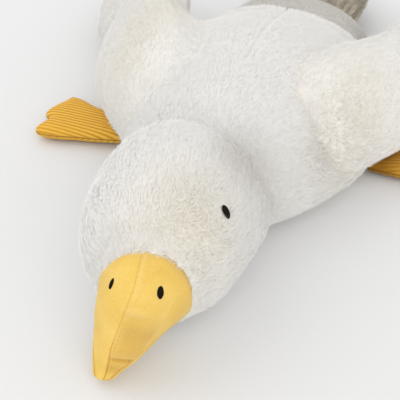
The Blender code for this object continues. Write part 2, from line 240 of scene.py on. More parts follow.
def noise_node(tree, scale, detail=3.0, stretch=(1.0, 1.0, 1.0)):
    """Noise on the piece's own Object coordinates."""
    place = tree.nodes.new("ShaderNodeTexCoord")
    mapping = tree.nodes.new("ShaderNodeMapping")
    mapping.inputs["Scale"].default_value = stretch
    noise = tree.nodes.new("ShaderNodeTexNoise")
    noise.inputs["Scale"].default_value = scale
    noise.inputs["Detail"].default_value = detail
    tree.links.new(place.outputs["Object"], mapping.inputs["Vector"])
    tree.links.new(mapping.outputs["Vector"], noise.inputs["Vector"])
    return noise.outputs["Fac"]


def kept_node(tree, name):
    """A value kept with the mesh."""
    kept = tree.nodes.new("ShaderNodeAttribute")
    kept.attribute_name = name
    return kept.outputs["Fac"]


def scaled_node(tree, source, factor, added):
    """A value times a factor, plus a number or another value."""
    sum_node = tree.nodes.new("ShaderNodeMath")
    sum_node.operation = "MULTIPLY_ADD"
    sum_node.inputs[1].default_value = factor
    tree.links.new(source, sum_node.inputs[0])
    if isinstance(added, float):
        sum_node.inputs[2].default_value = added
    else:
        tree.links.new(added, sum_node.inputs[2])
    return sum_node.outputs["Value"]


def ramp_node(tree, source, stops):
    """Colours along a value from 0 to 1."""
    ramp = tree.nodes.new("ShaderNodeValToRGB")
    while len(ramp.color_ramp.elements) < len(stops):
        ramp.color_ramp.elements.new(0.5)
    for element, (place, colour) in zip(ramp.color_ramp.elements, stops):
        element.position = place
        element.color = (*colour, 1.0)
    tree.links.new(source, ramp.inputs["Fac"])
    return ramp.outputs["Color"]


def mix_node(tree, source, colour, share, blend="MIX"):
    """Leads a colour over to another one, or to their product, by a share from 0 to 1."""
    mix = tree.nodes.new("ShaderNodeMix")
    mix.data_type = "RGBA"
    mix.blend_type = blend
    colours = [socket for socket in mix.inputs if socket.type == "RGBA"]
    colours[1].default_value = (*colour, 1.0)
    tree.links.new(share, mix.inputs["Factor"])
    tree.links.new(source, colours[0])
    return [socket for socket in mix.outputs if socket.type == "RGBA"][0]


def bump_node(tree, shader, source, distance, strength):
    """Fine relief of the shading by a value from 0 to 1."""
    bump = tree.nodes.new("ShaderNodeBump")
    bump.inputs["Distance"].default_value = distance
    bump.inputs["Strength"].default_value = strength
    tree.links.new(source, bump.inputs["Height"])
    tree.links.new(bump.outputs["Normal"], shader.inputs["Normal"])


def plush_backing(name, dark, light):
    """The knitted ground that the pile grows from, mottled between two tones."""
    made, tree, shader = principled(name, light, 0.95, sheen=0.1)
    knit = noise_node(tree, 420.0, 4.0)
    tree.links.new(ramp_node(tree, knit, [(0.32, dark), (0.62, light)]), shader.inputs["Base Color"])
    bump_node(tree, shader, knit, 0.0008, 0.3)
    return made


def pile_fibre(name, dark, middle, light):
    """Fibre whose tone and warmth are kept with each tuft, darker at the root as painted shade deep in the
    pile.
    """
    made, tree, shader = principled(name, middle, 0.9, sheen=0.04, specular=0.1)
    tones = ramp_node(tree, kept_node(tree, "tone"), [(0.0, dark), (0.5, middle), (1.0, light)])
    warmed = mix_node(tree, tones, WARM_TINT, kept_node(tree, "warmth"), "MULTIPLY")
    tree.links.new(warmed, shader.inputs["Base Color"])
    return made


def velour(name):
    """Short dense velour, darkened by painted shade in its seams, folds and creases and at its rim, with a
    painted sheen where the nap catches the light.

    Its tone is 0.5 times a fine grain, plus 0.4 times soft patches, plus 0.4.
    """
    made, tree, shader = principled(name, VELOUR_YELLOW, 0.85, sheen=0.15)
    grain = noise_node(tree, 1500.0, 3.0)
    patches = scaled_node(tree, noise_node(tree, 45.0, 2.0), 0.4, 0.4)
    cloth = ramp_node(tree, scaled_node(tree, grain, 0.5, patches), VELOUR_TONES)
    # Painted sheen, then painted shade, as kept with the beak's points
    with_painted_sheen = mix_node(tree, cloth, VELOUR_PAINTED_SHEEN, scaled_node(tree, kept_node(tree, "painted_sheen"), 0.6, 0.0))
    darker = mix_node(tree, with_painted_sheen, VELOUR_SHADE, scaled_node(tree, kept_node(tree, "shade"), 0.8, 0.0))
    tree.links.new(darker, shader.inputs["Base Color"])
    bump_node(tree, shader, grain, 0.0006, 0.7)
    return made


def corduroy(name):
    """Ribbed pile cloth, whose valleys are darkened by the height kept over the ribs as painted shade, and
    which takes painted shade where the left foot lies under its wing.

    Its tone is that height plus 0.35 times a fine fibre, which is drawn out along the ribs.
    """
    made, tree, shader = principled(name, CORDUROY_MUSTARD, 0.85, sheen=0.08)
    fibre = noise_node(tree, 900.0, 3.0, (0.35, 1.0, 1.0))
    cloth = ramp_node(tree, scaled_node(tree, fibre, 0.35, kept_node(tree, "rib")), CORDUROY_TONES)
    # Painted shade under the left wing, kept with the foot's points
    darker = mix_node(tree, cloth, CORDUROY_SHADE, scaled_node(tree, kept_node(tree, "shade"), 0.95, 0.0))
    tree.links.new(darker, shader.inputs["Base Color"])
    bump_node(tree, shader, fibre, 0.0005, 0.5)
    return made


def stitch_thread(name, colour):
    """Dark embroidery thread with a fine grain."""
    made, tree, shader = principled(name, colour, 0.75, specular=0.08)
    bump_node(tree, shader, noise_node(tree, 2500.0, 2.0), 0.0003, 0.5)
    return made


# Meshes
def add_mesh(name, points, faces, finish, smooth=True):
    """A piece from its points and from one or more arrays of faces, each with its own corner count."""
    parts = faces if isinstance(faces, (list, tuple)) else [faces]
    parts = [np.asarray(part, np.int32) for part in parts]
    corners = np.concatenate([part.ravel() for part in parts])
    counts = np.concatenate([np.full(len(part), part.shape[1], np.int32) for part in parts])
    mesh = bpy.data.meshes.new(name)
    mesh.vertices.add(len(points))
    mesh.vertices.foreach_set("co", np.asarray(points, np.float32).ravel())
    mesh.loops.add(corners.size)
    mesh.loops.foreach_set("vertex_index", corners)
    mesh.polygons.add(len(counts))
    mesh.polygons.foreach_set("loop_start", (np.cumsum(counts) - counts).astype(np.int32))
    mesh.update(calc_edges=True)
    if smooth:
        mesh.shade_smooth()
    mesh.materials.append(finish)
    piece = bpy.data.objects.new(name, mesh)
    bpy.context.scene.collection.objects.link(piece)
    return piece


def grid_faces(rows, columns, first=0):
    """Quads between neighbouring rings of a closed grid whose points start at a given number."""
    across = np.arange(columns)[None, :]
    after = (across + 1) % columns
    upper = np.arange(rows - 1)[:, None] * columns
    lower = upper + columns
    quads = np.stack([upper + across, upper + after, lower + after, lower + across], axis=-1)
    return quads.reshape(-1, 4) + first


def fan_faces(columns, first, middle, turned):
    """Triangles from one ring to a point in its middle."""
    across = np.arange(columns)
    after = (across + 1) % columns
    fan = np.stack([first + across, first + after, np.full(columns, middle)], axis=1)
    return fan[:, ::-1] if turned else fan


def surface_of(piece):
    """Points, point normals and triangles of a mesh, as arrays."""
    mesh = piece.data
    points = np.empty(len(mesh.vertices) * 3, np.float32)
    mesh.vertices.foreach_get("co", points)
    normals = np.empty(len(mesh.vertices) * 3, np.float32)
    mesh.vertex_normals.foreach_get("vector", normals)
    mesh.calc_loop_triangles()
    triangles = np.empty(len(mesh.loop_triangles) * 3, np.int32)
    mesh.loop_triangles.foreach_get("vertices", triangles)
    points, normals = points.reshape(-1, 3).astype(float), normals.reshape(-1, 3).astype(float)
    return points, normals, triangles.reshape(-1, 3)


def set_points(piece, points):
    """Puts new places in for the points of a mesh."""
    piece.data.vertices.foreach_set("co", np.asarray(points, np.float32).ravel())
    piece.data.update()


def keep_modifiers(piece):
    """Puts the mesh as its modifiers leave it in the place of the piece's own mesh."""
    graph = bpy.context.evaluated_depsgraph_get()
    made = bpy.data.meshes.new_from_object(piece.evaluated_get(graph))
    piece.modifiers.clear()
    piece.data = made


# Covers of the stuffed pieces
def solid_points(node):
    """The points of a node's solid."""
    points, _, _ = surface_of(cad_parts[node])
    return points


def cover_from_solids(nodes, name, finish, voxel=COVER_VOXEL):
    """The solids joined to one closed surface of even quads."""
    work = bmesh.new()
    for node in nodes:
        work.from_mesh(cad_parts[node].data)
    bmesh.ops.remove_doubles(work, verts=work.verts, dist=1e-5)
    mesh = bpy.data.meshes.new(name)
    work.to_mesh(mesh)
    work.free()
    mesh.materials.append(finish)
    piece = bpy.data.objects.new(name, mesh)
    bpy.context.scene.collection.objects.link(piece)
    remesh = piece.modifiers.new("even", "REMESH")
    remesh.mode = "VOXEL"
    remesh.voxel_size = voxel
    keep_modifiers(piece)
    return piece


def nearest(points, targets):
    """Distance from each point to the nearest of the targets."""
    squares = (points**2).sum(axis=1)[:, None] + (targets**2).sum(axis=1)[None, :] - 2 * points @ targets.T
    return np.sqrt(np.maximum(squares.min(axis=1), 0.0))


def keep_value(piece, name, values):
    """Keeps a value with each point of a mesh."""
    kept = piece.data.attributes.new(name, "FLOAT", "POINT")
    kept.data.foreach_set("value", np.asarray(values, np.float32))


def kept_value(piece, name):
    """The value kept with each point of a mesh, or 0."""
    values = np.zeros(len(piece.data.vertices), np.float32)
    if name in piece.data.attributes:
        piece.data.attributes[name].data.foreach_get("value", values)
    return values.astype(float)


def average_of_neighbours(values, edges, degree):
    """The sum over the edges of each point, divided by their number."""
    summed = np.zeros_like(values)
    for column in range(values.shape[1]):
        summed[:, column] = np.bincount(edges[:, 0], values[edges[:, 1], column], len(values))
        summed[:, column] += np.bincount(edges[:, 1], values[edges[:, 0], column], len(values))
    return summed / degree


def edges_of(piece):
    """The edges of a mesh and the number of edges at each point."""
    edges = np.empty(len(piece.data.edges) * 2, np.int32)
    piece.data.edges.foreach_get("vertices", edges)
    edges = edges.reshape(-1, 2)
    return edges, np.bincount(edges.ravel(), minlength=len(piece.data.vertices))[:, None].astype(float)


def evened(piece, values, rounds):
    """Values of the points after some rounds of going half way to the average of their neighbours."""
    edges, degree = edges_of(piece)
    values = values[:, None]
    for _ in range(rounds):
        values = 0.5 * values + 0.5 * average_of_neighbours(values, edges, degree)
    return values[:, 0]


def fill_creases(piece, rounds, most_rounds_at=None, most_rounds=0):
    """Raises only the points that lie lower than their neighbours, which rounds off sharp inner corners.

    Each round goes 0.8 of the way along the normal. Further rounds follow where most_rounds_at gives a
    share above 0.
    """
    edges, degree = edges_of(piece)
    for number in range(max(rounds, most_rounds)):
        points, normals, _ = surface_of(piece)
        step = average_of_neighbours(points, edges, degree) - points
        rise = np.maximum(np.sum(step * normals, axis=1, keepdims=True), 0.0)
        if number >= rounds:
            rise = rise * most_rounds_at(points, normals)[:, None]
        set_points(piece, points + normals * rise * 0.8)


def swell(piece):
    """Blows the cover up against its own cloth, as its filling does, and caps how far each point moves."""
    start, _, _ = surface_of(piece)
    cloth = piece.modifiers.new("filling", "CLOTH")
    cloth.settings.quality = 4
    cloth.settings.use_pressure = True
    cloth.settings.uniform_pressure_force = SWELL_PRESSURE
    cloth.settings.effector_weights.gravity = 0
    cloth.collision_settings.use_collision = False
    for number in range(1, SWELL_FRAMES + 1):
        bpy.context.scene.frame_set(number)
    keep_modifiers(piece)
    bpy.context.scene.frame_set(1)
    moved, _, _ = surface_of(piece)
    step = moved - start
    far = np.linalg.norm(step, axis=1, keepdims=True)
    set_points(piece, start + step * np.minimum(1.0, SWELL_LIMIT / np.maximum(far, 1e-9)))


def finer(piece):
    """Smooths the cover and splits each of its faces in four."""
    smooth = piece.modifiers.new("smooth", "SMOOTH")
    smooth.factor = 0.5
    smooth.iterations = 3
    finer_mesh = piece.modifiers.new("finer", "SUBSURF")
    finer_mesh.levels = 1
    finer_mesh.render_levels = 1
    keep_modifiers(piece)
    piece.data.shade_smooth()


def plush_cover(nodes, name, finish, depth_at, crease_rounds=0, under=(), filled=None):
    """The swollen cover of one or more stuffed solids, pressed in by the depth of its pile.

    It runs on under the solids named in under, where it is pressed in further and bears no pile.
    """
    voxel = COVER_VOXEL if len(nodes) > 1 else SMALL_COVER_VOXEL
    piece = cover_from_solids([*nodes, *under], name, finish, voxel)
    points, _, _ = surface_of(piece)
    away = [nearest(points, solid_points(node)) for node in nodes]
    if len(nodes) > 1:
        belongs = smooth_step(-0.006, 0.006, away[0][:, None] - np.stack(away[1:], axis=1))
        keep_value(piece, "side", evened(piece, belongs @ np.array([1.0, -1.0]), 6))
    for node in under:
        beyond = away[0] - nearest(points, solid_points(node)) - UNDER_OVERLAP
        keep_value(piece, "under", smooth_step(-0.003, 0.003, beyond))
    swell(piece)
    fill_creases(piece, crease_rounds, filled, 0 if filled is None else NECK_ROUNDS)
    finer(piece)
    points, normals, _ = surface_of(piece)
    depth = depth_at(points, normals, kept_value(piece, "side")) + UNDER_DEPTH * kept_value(piece, "under")
    points = points - normals * depth[:, None]
    points[:, 2] = np.maximum(points[:, 2], 0.0)
    set_points(piece, points)
    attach(piece, "root")
    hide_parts(*nodes)
    return piece


# Pile
def wing_crease(side):
    """Largest along the line where a wing meets the body, weaker at the right wing, 0 away from it.

    Side is 0 on the body, 1 on the left wing and -1 on the right wing.
    """
    strength = np.where(side < 0, CREASE_AT_RIGHT_WING, CREASE_AT_LEFT_WING)
    return hump(np.abs(side) - 0.5, CREASE_SPREAD) * strength


def mostly_seen(normals):
    """More tufts where the cover faces up or sideways, few where it lies on the floor."""
    up = normals[:, 2]
    return 0.25 + smooth_step(-0.75, 0.1, up) + 0.35 * smooth_step(0.2, 0.9, up)


def planted(cover, count, inside, rng):
    """Random places on a cover, with its normals and sides, by each face's area and how well it is seen.

    A place in a face is a mix of its corners, by 1 - a, a (1 - b) and a b, where a is the square root
    of one random number and b is another.
    """
    points, normals, triangles = surface_of(cover)
    corners = points[triangles]
    across = np.cross(corners[:, 1] - corners[:, 0], corners[:, 2] - corners[:, 0])
    area = np.linalg.norm(across, axis=1)
    side = kept_value(cover, "side")[triangles]
    wanted = area * mostly_seen(unit(across))
    if inside is not None:
        wanted = wanted * inside(corners.mean(axis=1), side.mean(axis=1))
    chosen = rng.choice(len(triangles), size=count, p=wanted / wanted.sum())
    first = np.sqrt(rng.random((count, 1)))
    second = rng.random((count, 1))
    shares = np.concatenate([1 - first, first * (1 - second), first * second], axis=1)[:, :, None]
    place = (corners[chosen] * shares).sum(axis=1)
    out = unit((normals[triangles[chosen]] * shares).sum(axis=1))
    side = (side[chosen] * shares[:, :, 0]).sum(axis=1)
    under = (kept_value(cover, "under")[triangles[chosen]] * shares[:, :, 0]).sum(axis=1)
    free = under < UNDER_BARE
    return place[free], out[free], side[free]


def cell_map(count):
    """A map that gives each tuft its own small square, with its four corners on the square's sides."""
    side = math.ceil(math.sqrt(count))
    number = np.arange(count)
    corner = np.stack([number % side, number // side], axis=1)[:, None, :]
    kite = np.array([[0.5, 0.08], [0.88, 0.5], [0.12, 0.5], [0.5, 0.92]])[None, :, :]
    return (corner + kite) / side


def pile(name, cover, slot, count, seed, finish, comb, matting, inside=None, trim=None, standing=None,
         painted_shading=None, warmth=None, length=PILE_LENGTH, looseness=PILE_LOOSENESS, streaks=0.0):
    """Tufts of pile. Each is a kite of two triangles from its root over a knee to its tip.

    A tuft leans the way the nap is combed, lifted off the cover: way + lift * out, plus the slope of the
    curls where the pile is matted and a random part. Its knee lies at 0.45 of its length and its width
    runs across its lean. Its shading tilts with the curls, and its tone follows their height and falls in
    the wing creases, as painted shade in the hollows.
    """
    rng = np.random.default_rng(seed)
    place, out, side = planted(cover, count, inside, rng)
    count = len(place)
    matted = matting(place)[:, None]
    crease = wing_crease(side)[:, None]
    height, slope = ripples(place, CURL_SIZE, seed + 1)
    wide_height, wide_slope = ripples(place, WIDE_CURL_SIZE, seed + 2)
    slope = along_surface(slope, out)
    wide_slope = along_surface(wide_slope, out)

    way = along_surface(comb(place, side), out)
    way = way / np.maximum(np.linalg.norm(way, axis=1, keepdims=True), 0.6)
    loose = rng.normal(size=(count, 3)) * looseness
    gather = slope * 1.2 * matted + wide_slope * 0.05
    raised = PILE_LIFT + 0.35 * matted
    if standing is not None:
        raised = raised + standing(place)[:, None]
    lean = unit(way * (1.0 - 0.45 * matted) + out * raised + gather + loose)

    curled = 1 + 0.25 * height[:, None] * matted
    size = length * rng.uniform(0.80, 1.15, (count, 1)) * curled * (1 - 0.15 * crease)
    faces_floor = out[:, 2:3] < -0.5
    size = np.where(faces_floor, size * 0.4, size)
    if trim is not None:
        size = size * trim(place)[:, None]
    turn = rng.uniform(-0.7, 0.7, (count, 1))
    flat = unit(np.cross(lean, out))
    flat = flat * np.cos(turn) + out * np.sin(turn)
    half = flat * PILE_WIDTH * rng.uniform(0.35, 0.65, (count, 1))
    knee = place + (lean * 0.45 + out * 0.12) * size
    tip = place + lean * size - out * size * 0.08
    root = place - out * ROOT_DEPTH
    points = np.stack([root, knee + half, knee - half, tip], axis=1)
    points[:, :, 2] = np.maximum(points[:, :, 2], 0.0002)
    start = np.arange(count)[:, None, None] * 4
    faces = (start + np.array([[[0, 1, 2], [2, 1, 3]]])).reshape(-1, 3)
    piece = add_mesh(name, points.reshape(-1, 3), faces, finish)
    mesh = piece.data
    facing = unit(out - slope * 0.5 * matted - wide_slope * 0.015 + lean * 0.03)
    mesh.normals_split_custom_set_from_vertices(np.repeat(facing, 4, axis=0).astype(np.float32))

    # Painted shade: the tone falls in the hollows between curls and along the wing creases
    tone = 0.55 + 0.30 * height * matted[:, 0] + 0.04 * wide_height - 0.12 * crease[:, 0]
    tone = tone + rng.normal(size=count) * 0.05
    # Painted shade and painted light at places, taken off the tone
    if painted_shading is not None:
        tone = tone - painted_shading(place)
    if streaks:
        tone = tone + streaks * ripples(place * np.array([1.0, 0.15, 1.0]), STREAK_SIZE, seed + 3)[0]
    # Painted shade deep in the pile: each tuft darker at its root and a touch lighter at its tip
    tones = np.clip(tone[:, None] + np.array([-0.10, 0.0, 0.0, 0.02]), 0.0, 1.0)
    keep_value(piece, "tone", tones.ravel())
    if warmth is not None:
        warm = np.clip(warmth(place) + 0.30 * crease[:, 0], 0.0, 1.0)
        keep_value(piece, "warmth", np.repeat(warm, 4))
    squares = cell_map(count)[:, [0, 1, 2, 2, 1, 3], :]
    layer = mesh.uv_layers.new(name="OFBake")
    layer.data.foreach_set("uv", squares.astype(np.float32).ravel())
    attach(piece, "root")
    return piece


# White plush of the body, head and wings
def back_seam(points):
    """Distance from the seam along the back, and how clearly it shows there."""
    line = HEAD[0] + 0.008 - 0.02 * (points[:, 1] - HEAD[1] - 0.127)
    shown = smooth_step(HEAD[1] + 0.100, HEAD[1] + 0.150, points[:, 1]) * (points[:, 2] > 0.05)
    return points[:, 0] - line, shown


def beak_socket(place):
    """How far a place is from the middle of the beak's base, where 1 is the beak's own outline."""
    c, s = math.cos(HEAD_TURN), math.sin(HEAD_TURN)
    off = place - HEAD
    side = off[:, 0] * c + off[:, 1] * s - BEAK_SIDE
    forward = off[:, 0] * s - off[:, 1] * c
    far = np.hypot(side / (BEAK_WIDTH / 2), (off[:, 2] - BEAK_ROOT_Z) / (BEAK_DEPTH / 2))
    return np.where(forward > BEAK_ROOT_Y - 0.010, far, 9.0)


def eye_distance(place):
    """How far a place is from the nearer eye, where 1 is the rim of its stitches."""
    near = np.full(len(place), 9.0)
    for low, high in ((eye_left_low, eye_left_high), (eye_right_low, eye_right_high)):
        middle, half = np.array((low + high) / 2), np.array((high - low) / 2)
        reach = np.array([0.006, half[1] + 0.0004, half[2] + 0.0004])
        near = np.minimum(near, np.linalg.norm((place - middle) / reach, axis=1))
    return near


def neck_top(points, normals):
    """Where the hollow behind the head is bridged by the cover: on top, not at the sides."""
    return hump(points[:, 1] - NECK_Y, 0.022) * smooth_step(0.35, 0.75, normals[:, 2])


def white_depth(points, normals, side):
    """How far the cover lies inside the solids: the depth of its pile, and more or less of it in places.

    It is less round the beak, at the sides of the neck, at the edge over the rump and where the right wing
    bulges, and more at that wing's notch and waist, in the seam of the back and where the wings are sewn on.
    """
    mirrored = np.stack([np.abs(points[:, 0] - HEAD[0]), points[:, 1] - HEAD[1], points[:, 2]], axis=1)
    faces_up = smooth_step(-0.2, 0.4, normals[:, 2])
    faces_back = smooth_step(0.0, 0.7, normals[:, 0] + 0.5 * normals[:, 1])
    waist = patch(points, RIGHT_WAIST) * faces_back
    rump_edge = smooth_step(body_high.y - 0.016, body_high.y - 0.003, points[:, 1])
    seam, shown = back_seam(points)
    depth = PILE_DEPTH * (0.25 + 0.75 * smooth_step(1.0, 1.3, beak_socket(points)))
    depth = depth - NECK_SIDES_RISE * bell(mirrored, *NECK_SIDES)
    depth = depth + WAIST_DEPTH * waist - RUMP_EDGE_RISE * rump_edge * faces_up
    depth = depth - BULGE_RISE * patch(points, RIGHT_WING_BULGE)
    depth = depth + NOTCH_DEPTH * patch(points, RIGHT_WING_NOTCH)
    return depth + BACK_SEAM_DEPTH * hump(seam, BACK_SEAM_WIDTH) * shown + CREASE_DEPTH * wing_crease(side)


def comb_body(place, side):
    """The way of the nap: from the beak over the head, back down the torso and outwards along the wings.

    On the head it points away from the beak's base and is led over to the torso's way at the neck. Beside
    the seam of the back it parts. On a wing it is led over, by side, to the wing's length and away from
    the wing's root.
    """
    off = place - HEAD
    from_beak = unit(place - BEAK_BASE)
    back = np.stack([off[:, 0] * 5.0, np.ones(len(off)), np.full(len(off), -0.15)], axis=1)
    share = smooth_step(NECK_Y - 0.03, NECK_Y + 0.03, place[:, 1])[:, None]
    wing = np.stack([0.42 * side, 0.90 * np.abs(side), -0.15 * np.abs(side)], axis=1)
    root = np.stack([0.062 * np.sign(side), np.full(len(off), 0.112), np.full(len(off), 0.080)], axis=1)
    spread = wing + 0.5 * unit(off - root) * np.abs(side)[:, None]
    seam, shown = back_seam(place)
    parted = np.sign(seam) * shown * hump(seam, 0.0018) * 0.35
    back = unit(back) + parted[:, None] * np.array([1.0, 0.0, 0.0])
    body = from_beak * (1 - share) + back * share
    return body * (1 - np.abs(side))[:, None] + spread


def matted_body(place):
    """How far the tufts gather into curls: at the crown and where the left wing is sewn on."""
    return np.clip(0.02 + 1.25 * patch(place, MATTED_CROWN) + 0.9 * patch(place, MATTED_WING_SEAM), 0.0, 1.0)


def trim_body(place):
    """Shorter tufts round the beak and the left eye and at the back's seam, longer ones over the rump.

    On the right half they are a little longer, and most before the right eye, which they hide.
    """
    round_beak = 0.60 + 0.40 * smooth_step(1.0, 1.30, beak_socket(place))
    round_eye = 0.35 + 0.65 * smooth_step(0.9, 2.0, eye_distance(place))
    seam, shown = back_seam(place)
    at_seam = 1 - 0.45 * shown * hump(seam, 0.0011)
    over_rump = 1 + 0.7 * smooth_step(body_high.y - 0.007, body_high.y - 0.001, place[:, 1])
    before_eye = bell(place, EYE_RIGHT + Vector((0.001, -0.0035, 0.003)), (0.005, 0.005, 0.005))
    by_half = np.where(place[:, 0] > HEAD[0], round_eye, 1.1 + 1.2 * before_eye)
    return round_beak * at_seam * over_rump * by_half


def standing_body(place):
    """Tufts stand up round the beak and before the right eye, and lie flatter at the neck."""
    round_beak = 0.45 * (1 - smooth_step(1.0, 1.3, beak_socket(place)))
    before_eye = 0.9 * bell(place, EYE_RIGHT, (0.007, 0.007, 0.007))
    at_neck = plateau((NECK_Y - 0.040, NECK_Y - 0.018), (NECK_Y, NECK_Y + 0.020), place[:, 1])
    return round_beak + before_eye - 0.18 * at_neck


def body_painted_shading(place):
    """Painted shade on the right wing, more on its far part, in the hollow behind the head, on the head's
    back before it, at the left wing's root and round the beak, and painted light on the right cheek.
    """
    on_wing = smooth_step(0.05, 0.09, HEAD[0] - place[:, 0])
    far = smooth_step(HEAD[1] + 0.24, HEAD[1] + 0.30, place[:, 1])
    round_beak = 1 - smooth_step(1.0, 1.30, beak_socket(place))
    # Painted shade lowers the tone where less light falls; the cheek's part, taken off, is painted light
    grey = on_wing * (0.20 + 0.35 * far) + 0.40 * patch(place, PAINTED_SHADE_HOLLOW) + 0.18 * round_beak
    grey = grey - 0.30 * patch(place, PAINTED_LIGHT_CHEEK) + 0.45 * patch(place, PAINTED_SHADE_BEFORE_HOLLOW)
    return grey + 0.50 * patch(place, PAINTED_SHADE_WING_ROOT)


def warm_body(place):
    """Creamier pile at the crown and on the wings near the body."""
    warm = 0.06 + 0.85 * patch(place, WARM_CROWN) + 0.55 * patch(place, WARM_LEFT_WING)
    return np.clip(warm + 0.70 * patch(place, WARM_RIGHT_WING), 0.0, 1.0)


def on_body(place, side, start, end):
    """Whether a place is on the body, from one y to another, and not under an eye."""
    between = (place[:, 1] >= start) & (place[:, 1] < end)
    return (np.abs(side) < 0.5) & between & (eye_distance(place) > 1.0)


def on_head(place, side):
    """The head as far as the neck."""
    return on_body(place, side, -1.0, NECK_Y)


def on_shoulder(place, side):
    """The body behind the neck."""
    return on_body(place, side, NECK_Y, BACK_Y)


def on_back(place, side):
    """The rest of the body, as far as the rump."""
    return on_body(place, side, BACK_Y, 1.0)


def on_wing_left(place, side):
    """The left wing."""
    return side >= 0.5


def on_wing_right(place, side):
    """The right wing."""
    return side <= -0.5


def build_white_plush(backing, fibre):
    """Body and wings under one cover, whose inner corners are rounded off as their pile fills them."""
    cover = plush_cover(["body", "wing_left", "wing_right"], "white_cover", backing,
                        white_depth, CREASE_ROUNDS, under=["beak"], filled=neck_top)
    nap = {"comb": comb_body, "matting": matted_body, "trim": trim_body, "standing": standing_body,
           "painted_shading": body_painted_shading, "warmth": warm_body}
    for name, count, seed, inside in (
        ("head_pile", 103000, 12, on_head),
        ("shoulder_pile", 60000, 21, on_shoulder),
        ("back_pile", 52000, 31, on_back),
        ("wing_left_pile", 55000, 61, on_wing_left),
        ("wing_right_pile", 55000, 81, on_wing_right),
    ):
        pile(name, cover, "white_plush", count, seed, fibre, inside=inside, **nap)


# Rump and tail
def comb_back(place, side):
    """The nap runs straight towards the tail and a little down."""
    return np.broadcast_to(np.array([0.0, 1.0, -0.1]), place.shape)


def hardly_matted(place):
    """Smooth pile, with next to no curls."""
    return np.full(len(place), 0.06)


def plain_depth(points, normals, side):
    """The depth of the pile everywhere."""
    return np.full(len(points), PILE_DEPTH)


def trim_rump(place):
    """Shorter tufts where the white pile falls over the rump's edge."""
    return 0.4 + 0.6 * smooth_step(body_high.y + 0.002, body_high.y + 0.009, place[:, 1])


def build_rump_and_tail(grey_backing, grey_fibre, taupe_backing, taupe_fibre):
    """The grey panel at the rear and the flat streaky tail, each under a cover of its own."""
    rump = plush_cover(["rump"], "rump_cover", grey_backing, plain_depth)
    pile("rump_pile", rump, "grey_plush", 18000, 41, grey_fibre, comb_back, hardly_matted, trim=trim_rump)
    tail = plush_cover(["tail"], "tail_cover", taupe_backing, plain_depth)
    pile("tail_pile", tail, "taupe_plush", 24000, 51, taupe_fibre, comb_back, hardly_matted,
         length=TAIL_PILE_LENGTH, looseness=TAIL_LOOSENESS, streaks=TAIL_STREAKS)


# Beak
BEAK_WIDTH = 0.062
BEAK_DEPTH = 0.072
BEAK_SIDE = 0.0022
BEAK_ROOT_Y = 0.052
BEAK_ROOT_Z = 0.061
BEAK_TIP_REACH = 0.107
BEAK_TIP_SIDE = 0.022
BEAK_TIP_WIDTH = 0.021
BEAK_TIP_DEPTH = 0.013
BEAK_COLUMNS = 240
BEAK_STEPS = 20
# Seams and stitches: depth, widths, distance between stitches and their distance from the seam
BEAK_SEAM_DEPTH = 0.0008
BEAK_RIDGE_WIDTH = 0.00030
BEAK_EDGE_WIDTH = 0.0006
BEAK_STITCH = 0.0026
BEAK_STITCH_ASIDE = 0.0013
BEAK_STITCH_DEPTH = 0.0003
# How far the velour is tucked in under the plush at its rim, and how uneven its filling is
BEAK_TUCK = 0.0024
BEAK_UNEVEN = 0.0006
# Turn round the ring, in degrees, at shares along the beak: the ridge seam and the lower edge's seam
BEAK_RIDGE = np.array([
    (0, 95), (0.115, 94), (0.236, 90), (0.324, 92), (0.418, 95), (0.511, 97), (0.593, 92), (0.775, 80),
    (1, 80),
])
BEAK_EDGE = np.array([(0, -14), (0.30, -12), (0.44, 2), (0.54, 27), (0.70, 35), (0.85, 45), (1, 50)])
# Rises and dips across the beak: share along it, width as a share, and height
TIP_BULGE = (0.515, 0.045, 0.0019)
TIP_CREASE = (0.585, 0.016, -0.0022)
FOLD_RISE = (0.318, 0.014, 0.0008)
FOLD_DIP = (0.350, 0.016, -0.0009)


def head_points(side, forward, z):
    """Places given in the head's own turned frame, as rows."""
    c, s = math.cos(HEAD_TURN), math.sin(HEAD_TURN)
    return HEAD + np.stack([side * c + forward * s, side * s - forward * c, z], axis=-1)


def beak_rows():
    """Rows along the beak: side, forward, z, half width, half depth and slope of the section."""
    half, deep = BEAK_WIDTH / 2, BEAK_DEPTH / 2
    height, tip_half, tip_deep = BEAK_ROOT_Z, BEAK_TIP_WIDTH / 2, BEAK_TIP_DEPTH
    rows = np.array([
        (0.00, 0.00, height, half * 0.96, deep * 0.97, 4),
        (0.00, 0.29, height * 0.95, half, deep, 16),
        (0.20, 0.51, height * 0.79, half * 0.90, deep * 0.80, 36),
        (0.48, 0.60, height * 0.54, half * 0.71, deep * 0.56, 52),
        (0.74, 0.76, height * 0.32, half * 0.50, tip_deep * 0.95, 60),
        (0.92, 0.86, tip_deep * 0.85, tip_half, tip_deep * 0.62, 64),
        (0.99, 0.95, tip_deep * 0.55, tip_half * 0.70, tip_deep * 0.44, 68),
        (1.00, 0.985, tip_deep * 0.40, tip_half * 0.22, tip_deep * 0.14, 70),
    ])
    rows[:, 0] = BEAK_SIDE - BEAK_TIP_SIDE * rows[:, 0]
    rows[:, 1] = BEAK_ROOT_Y + (BEAK_TIP_REACH - BEAK_ROOT_Y) * rows[:, 1]
    rows[:, 5] = np.radians(rows[:, 5])
    return rows


